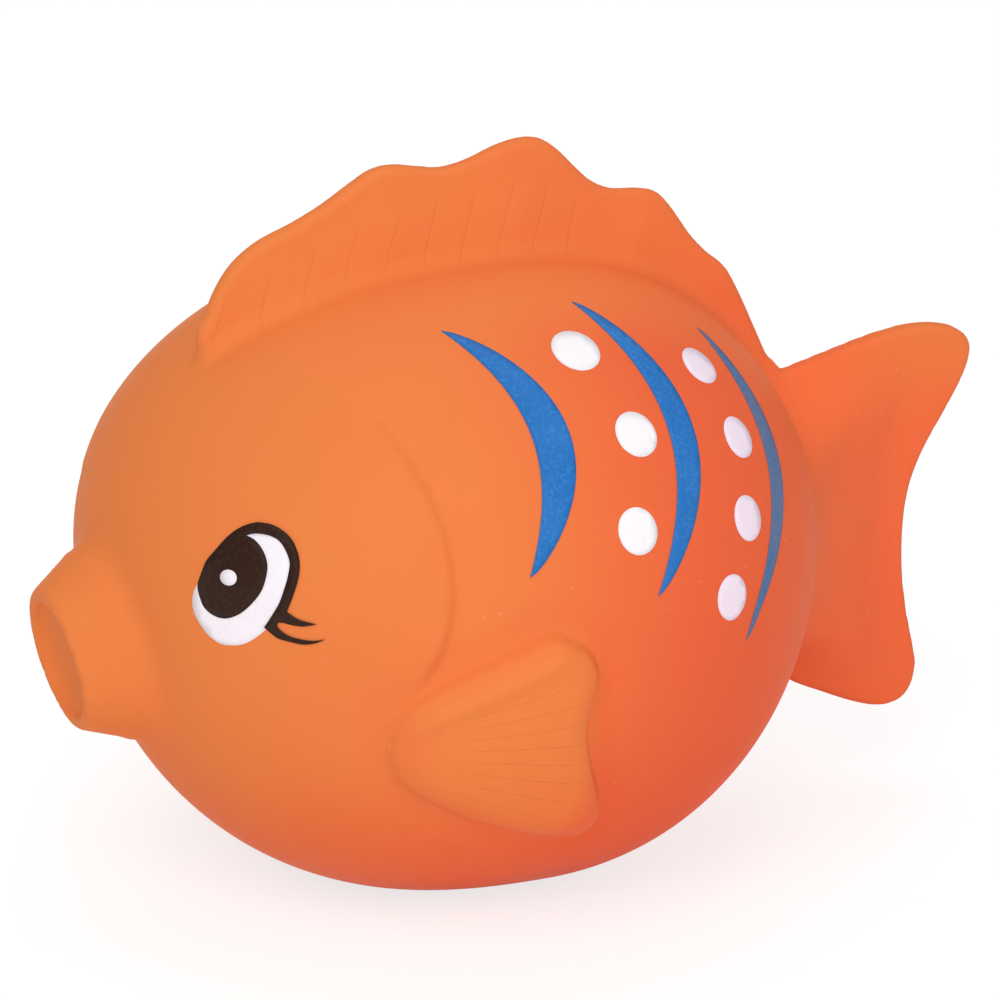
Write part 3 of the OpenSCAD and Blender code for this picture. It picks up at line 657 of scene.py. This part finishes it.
def vinyl(colours):
    """Satin soft vinyl, with painted shade that colours it redder towards the tail, the belly and the rear
    flanks, a painted lighter tone on the top of the tail and on the flank fins, fin rays, faint clouding
    and dust.
    """
    made, shader, wire = material("orange_vinyl")
    place = wire.node("ShaderNodeTexCoord", {}, {}, 3)
    axes = wire.node("ShaderNodeSeparateXYZ", {}, {0: place})
    x, y, z = (Wire(made.node_tree, axes.socket.node.outputs[k]) for k in range(3))
    cloud = noise(wire, place, 45, 3)
    # Painted shade: the vinyl is coloured redder towards the tail and down towards the belly, and kept more
    # orange on the lit top of the tail; the cloud adds real random tone
    lit_tail_top = x.ramp(0.034, 0.05) * z.ramp(0.035, 0.055)
    belly = z.ramp(0, 0.028, 0.4, 0)
    red = (x * 9 - z * 4 + cloud * 0.5 + belly - lit_tail_top * 0.6).ramp(-0.35, 0.6)
    base = red.mix(linear(colours.orange), linear(colours.shade_orange))
    # Painted shade: the rear flanks, turned away from the lamps, coloured redder
    base = (rear_flank_shade_spot(x, y, z) * 0.85).mix(base, linear(colours.flush))
    fin_rays, fin = flank_fin_rays(x, y, z)
    # Painted highlight: the raised flank fins coloured a lighter orange, where they catch the light
    base = (fin * 0.4).mix(base, linear(colours.fin_highlight_orange))
    dust = noise(wire, place, 1600, 1).ramp(0.775, 0.815)
    base = (dust * 0.22).mix(base, linear(colours.dust))
    wire.feed(shader.inputs["Base Color"], base)
    wire.feed(shader.inputs["Roughness"], cloud.ramp(0.3, 0.7, 0.46, 0.56))
    rays = back_fin_rays(x, y, z) * 0.8 + fin_rays
    grain = bump(wire, noise(wire, place, 900, 2), 0.06, 0.0004)
    wire.feed(shader.inputs["Normal"], bump(wire, 1 - rays, 0.35, 0.0002, grain))
    shader.inputs["Specular IOR Level"].default_value = 0.03
    return made


def paint(name, colour, worn, speck):
    """Printed paint, with its tone broken by fine specks and soft wear."""
    made, shader, wire = material(name)
    place = wire.node("ShaderNodeTexCoord", {}, {}, 3)
    fine = noise(wire, place, 2600, 2)
    cloud = noise(wire, place, 160, 2)
    base = (fine.ramp(0.45, 0.75) * speck + cloud.ramp(0.4, 0.8) * 0.2).mix(linear(colour), linear(worn))
    wire.feed(shader.inputs["Base Color"], base)
    wire.feed(shader.inputs["Roughness"], fine.ramp(0.3, 0.7, 0.42, 0.55))
    wire.feed(shader.inputs["Normal"], bump(wire, fine, 0.08, 0.0002))
    shader.inputs["Specular IOR Level"].default_value = 0.15
    return made


def plastic(name, colour, shade, rough, alpha=1.0):
    """Moulded plastic with faint flow marks."""
    made, shader, wire = material(name)
    place = wire.node("ShaderNodeTexCoord", {}, {}, 3)
    flow = noise(wire, place, 350, 3)
    wire.feed(shader.inputs["Base Color"], flow.ramp(0.3, 0.7).mix(linear(colour), linear(shade)))
    wire.feed(shader.inputs["Roughness"], flow.ramp(0.3, 0.7, rough, rough + 0.1))
    shader.inputs["Alpha"].default_value = alpha
    return made


def size(name, description, default):
    """A length in metres that a user can change."""
    return bpy.props.FloatProperty(
        name=name, description=description, default=default, unit="LENGTH", precision=5)


def colour(name, description, *default):
    """A screen colour that a user can change, from three values up to 255."""
    return bpy.props.FloatVectorProperty(
        name=name, description=description, default=[v / 255 for v in default],
        size=3, min=0, max=1, subtype="COLOR_GAMMA")


class BATHFISH_PG_shape(bpy.types.PropertyGroup):
    """Sizes of the fish"""

    cell: size("Cell", "Width of one cell of the skin's mesh", 0.00055)
    wall: size("Wall", "Thickness of the vinyl", 0.0015)
    gill_step: size("Gill step", "Height of the gill crease", 0.0008)
    fin_lift: size("Flank fin lift", "How far the flank fin's edge stands out", 0.0023)
    fin_fillet: size("Back fin fillet", "Reach of the fillet along the back fin", 0.0022)
    tail_fillet: size("Tail fillet", "Reach of the fillet along the tail's edges", 0.0016)
    tail_root_fillet: size("Tail root fillet", "Reach of the fillet amid the tail's root", 0.011)
    mouth_fillet: size("Mouth fillet", "Reach of the fillet around the mouth", 0.0024)
    dot_width: size("Dot width", "Width of a dot along the body", 0.0046)
    dot_height: size("Dot height", "Height of a dot up the flank", 0.0052)
    right_eye_back: size("Right eye back", "How much further back the right eye is printed", 0.0015)
    glint: size("Glint", "Diameter of the eye's glint", 0.0018)
    print_lift: size("Print lift", "Clearance under a print", 0.00002)
    print_thick: size("Print thickness", "Thickness of a print", 0.00006)


class BATHFISH_PG_colours(bpy.types.PropertyGroup):
    """Colours of the fish, as they look on a screen"""

    orange: colour("Orange", "Vinyl towards the head", 239, 133, 72)
    # Painted shade: the redder orange that stands in for shade towards the tail and belly
    shade_orange: colour("Red orange", "Vinyl towards the tail and belly", 246, 111, 67)
    # Painted shade: the redder tone of the rear flanks where shade falls
    flush: colour("Rear flank shade", "Vinyl at its reddest, behind the middle of the flanks", 238, 100, 63)
    # Painted highlight: the lighter orange of the flank fins where they catch the light
    fin_highlight_orange: colour("Fin highlight orange", "Vinyl of the flank fins", 243, 145, 75)
    dust: colour("Dust", "Fine dust on the vinyl", 255, 207, 163)
    blue: colour("Blue", "Crescents", 38, 114, 190)
    blue_worn: colour("Worn blue", "Specks in the crescents", 70, 142, 214)
    blue_thin: colour("Thin blue", "Rear crescents, where the paint is thin", 70, 113, 161)
    blue_faded: colour("Faded blue", "Specks in the rear crescents", 136, 122, 136)
    white: colour("White", "Front dots", 253, 250, 253)
    white_thin: colour("Thin white", "Rear dots, where the paint is thin", 250, 231, 246)
    eye_white: colour("Eye white", "Whites of the eyes", 253, 247, 253)
    white_worn: colour("Worn white", "Specks in the whites", 244, 234, 242)
    dark: colour("Dark", "Pupil, eye line and lashes", 47, 25, 16)
    dark_worn: colour("Worn dark", "Specks in the dark print", 77, 50, 34)
    plastic: colour("Plastic", "Squeaker", 240, 238, 230)
    reed: colour("Reed", "Reed strip", 206, 214, 216)


def settings():
    """The scene's sizes and colours."""
    return bpy.context.scene.bathfish_shape, bpy.context.scene.bathfish_colours


class BATHFISH_OT_skin(bpy.types.Operator):
    """Makes the two halves of the vinyl skin"""

    bl_idname = "bathfish.skin"
    bl_label = "Skin"

    def execute(self, context):
        shape, colours = settings()
        form = Form(shape)
        cell = shape.cell / MM
        across = (np.arange(-int(FIELD_Y / cell), 1) + 0.5) * cell
        axes = [np.arange(*FIELD_X, cell), across, np.arange(*FIELD_Z, cell)]
        values = form.solid(axes[0][:, None, None], axes[1][None, :, None], axes[2][None, None, :])
        points, faces = surface_net(values, axes)
        middle = np.abs(points[:, 1]) < cell / 2
        points[middle, 1] = 0
        points, normals = settle(form.solid, points, 3)
        points[middle, 1] = -HAIRLINE
        normals[middle, 1] = 0
        normals /= np.linalg.norm(normals, axis=1)[:, None]
        skin = vinyl(colours)
        for side in SIDES:
            places, quads, facing = mirrored(points, faces, normals, side)
            ob = new_mesh(f"{side}_skin", places, quads, skin, facing)
            bend_with_flank(ob)
            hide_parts(f"{side}_flank", "body_skin")
        return {"FINISHED"}


class BATHFISH_OT_crescents(bpy.types.Operator):
    """Prints the blue crescents"""

    bl_idname = "bathfish.crescents"
    bl_label = "Crescents"

    def execute(self, context):
        shape, colours = settings()
        form = Form(shape)
        blue = paint("blue_print", colours.blue, colours.blue_worn, 0.5)
        thin = paint("thin_blue_print", colours.blue_thin, colours.blue_faded, 0.6)
        lift, thick = shape.print_lift / MM, shape.print_thick / MM
        for side in SIDES:
            for name, place in CRESCENTS.items():
                made = thin if name == "rear" else blue
                outline = crescent_outline(*place)
                ob = film(f"{side}_{name}_crescent_print", outline, form, lift, thick, made, side)
                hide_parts(f"{side}_{name}_crescent")
        return {"FINISHED"}


class BATHFISH_OT_dots(bpy.types.Operator):
    """Prints the rows of white dots"""

    bl_idname = "bathfish.dots"
    bl_label = "Dots"

    def execute(self, context):
        shape, colours = settings()
        form = Form(shape)
        whites = {
            "front": paint("white_print", colours.white, colours.white_worn, 0.35),
            "rear": paint("thin_white_print", colours.white_thin, colours.white_worn, 0.25),
        }
        lift, thick = shape.print_lift / MM, shape.print_thick / MM
        width, height = shape.dot_width / MM, shape.dot_height / MM
        for side in SIDES:
            for name, middles in DOTS.items():
                for i, (x, turn, share) in enumerate(middles):
                    outline = ring_outline((x, turn), share * width, share * height)
                    ob = film(f"{side}_{name}_dot_{i + 1}", outline, form, lift, thick, whites[name], side)
                    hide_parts(f"{side}_{name}_dots")
        return {"FINISHED"}


class BATHFISH_OT_eyes(bpy.types.Operator):
    """Prints the eyes: white, dark line with pupil and lashes, and glint"""

    bl_idname = "bathfish.eyes"
    bl_label = "Eyes"

    def execute(self, context):
        shape, colours = settings()
        form = Form(shape)
        white = paint("eye_white_print", colours.eye_white, colours.white_worn, 0.35)
        dark = paint("dark_print", colours.dark, colours.dark_worn, 0.35)
        lift, thick = shape.print_lift / MM, shape.print_thick / MM
        layers = (
            ("eye_white", curve(EYE_WHITE, 0.25), white, "white_print"),
            ("eye_black", curve(EYE_DARK, 0.2, EYE_DARK_CORNERS), dark, "dark_print"),
            ("eye_glint", glint_outline(shape.glint / MM), white, "white_print"),
        )
        for side in SIDES:
            for i, (name, outline, made, slot) in enumerate(layers):
                moved = outline + [shape.right_eye_back / MM if side == "right" else 0, 0]
                ob = film(f"{side}_{name}_print", moved, form, lift + i * (lift + thick), thick, made, side)
                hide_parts(f"{side}_{name}")
        return {"FINISHED"}


class BATHFISH_OT_squeaker(bpy.types.Operator):
    """Gives the squeaker's pieces their plastics"""

    bl_idname = "bathfish.squeaker"
    bl_label = "Squeaker"

    def execute(self, context):
        colours = settings()[1]
        white = plastic("white_plastic", colours.plastic, [v * 0.95 for v in colours.plastic], 0.3)
        clear = plastic("reed_film", colours.reed, [v * 0.94 for v in colours.reed], 0.15, 0.75)
        pieces = {"squeaker_housing": white, "reed_bed": white, "reed_clip": white, "squeaker_cap": white,
                  "reed": clear, "reed_foot": clear}
        for name, made in pieces.items():
            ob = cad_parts[name]
            ob.data.materials.clear()
            ob.data.materials.append(made)
        return {"FINISHED"}


def make_floor(scene):
    """White paper, with a glow that shows to the camera and in reflections but doesn't light the fish."""
    made, shader, wire = material("floor")
    place = wire.node("ShaderNodeTexCoord", {}, {}, 3)
    paper = noise(wire, place, 3).mix((0.92, 0.92, 0.92, 1), (0.96, 0.96, 0.96, 1))
    seen_paper = (0.34, 0.34, 0.34, 1)
    kinds = ("Is Camera Ray", "Is Glossy Ray", "Is Transmission Ray")
    camera_ray, glossy_ray, clear_ray = (wire.node("ShaderNodeLightPath", output=kind) for kind in kinds)
    seen = (camera_ray + glossy_ray + clear_ray).ramp(0, 1)
    wire.feed(shader.inputs["Base Color"], seen.mix(paper, seen_paper))
    wire.feed(shader.inputs["Emission Color"], seen)
    glow = 0.75
    shader.inputs["Emission Strength"].default_value = glow
    shader.inputs["Roughness"].default_value = 0.9
    shader.inputs["Specular IOR Level"].default_value = 0.05
    reach = 6.0
    corners = [(-reach, -reach, 0), (reach, -reach, 0), (reach, reach, 0), (-reach, reach, 0)]
    mesh = bpy.data.meshes.new("floor")
    mesh.from_pydata(corners, [], [(0, 1, 2, 3)])
    mesh.materials.append(made)
    floor = bpy.data.objects.new("floor", mesh)
    scene.collection.objects.link(floor)


def make_lights(scene):
    """A soft white surround and the soft lamps."""
    world = bpy.data.worlds.new("studio")
    world.use_nodes = True
    surround = world.node_tree.nodes["Background"]
    surround.inputs["Color"].default_value = (1, 1, 1, 1)
    surround.inputs["Strength"].default_value = SURROUND
    scene.world = world
    for name, place, aim, width, power in LAMPS:
        light = bpy.data.lights.new(name, "AREA")
        light.size = width
        light.energy = power
        ob = bpy.data.objects.new(name, light)
        ob.location = place
        ob.rotation_euler = (Vector(aim) - Vector(place)).to_track_quat("-Z", "Y").to_euler()
        scene.collection.objects.link(ob)


def make_camera(scene):
    """A long lens at the photograph's angle."""
    camera = bpy.data.cameras.new("camera")
    camera.sensor_width = CAMERA_SENSOR
    camera.lens = CAMERA_LENS
    camera.clip_start = 0.01
    camera.clip_end = 50
    azimuth, elevation = math.radians(CAMERA_AZIMUTH), math.radians(CAMERA_ELEVATION)
    level = math.cos(elevation)
    away = Vector((math.sin(azimuth) * level, -math.cos(azimuth) * level, math.sin(elevation)))
    ob = bpy.data.objects.new("camera", camera)
    ob.location = Vector(CAMERA_AIM) * MM + away * CAMERA_DISTANCE
    ob.rotation_euler = (-away).to_track_quat("-Z", "Y").to_euler()
    scene.collection.objects.link(ob)
    scene.camera = ob


class BATHFISH_OT_stage(bpy.types.Operator):
    """Sets the floor, the lights and the camera"""

    bl_idname = "bathfish.stage"
    bl_label = "Stage"

    def execute(self, context):
        scene = context.scene
        make_floor(scene)
        make_lights(scene)
        make_camera(scene)
        scene.view_settings.view_transform = "Standard"
        return {"FINISHED"}


class BATHFISH_PT_panel(bpy.types.Panel):
    bl_label = "Bath fish"
    bl_space_type = "VIEW_3D"
    bl_region_type = "UI"
    bl_category = "Bath fish"

    def draw(self, context):
        for group in (context.scene.bathfish_shape, context.scene.bathfish_colours):
            for key in group.bl_rna.properties.keys():
                if key not in {"rna_type", "name"}:
                    self.layout.prop(group, key)
        for operator in OPERATORS:
            self.layout.operator(operator.bl_idname)


OPERATORS = (
    BATHFISH_OT_skin,
    BATHFISH_OT_crescents,
    BATHFISH_OT_dots,
    BATHFISH_OT_eyes,
    BATHFISH_OT_squeaker,
    BATHFISH_OT_stage,
)
CLASSES = (BATHFISH_PG_shape, BATHFISH_PG_colours) + OPERATORS + (BATHFISH_PT_panel,)


def register():
    for cls in CLASSES:
        bpy.utils.register_class(cls)
    bpy.types.Scene.bathfish_shape = bpy.props.PointerProperty(type=BATHFISH_PG_shape)
    bpy.types.Scene.bathfish_colours = bpy.props.PointerProperty(type=BATHFISH_PG_colours)


def unregister():
    del bpy.types.Scene.bathfish_shape
    del bpy.types.Scene.bathfish_colours
    for cls in reversed(CLASSES):
        bpy.utils.unregister_class(cls)


def main():
    register()
    bpy.ops.bathfish.skin()
    bpy.ops.bathfish.crescents()
    bpy.ops.bathfish.dots()
    bpy.ops.bathfish.eyes()
    bpy.ops.bathfish.squeaker()
    bpy.ops.bathfish.stage()


if __name__ == "__main__":
    main()
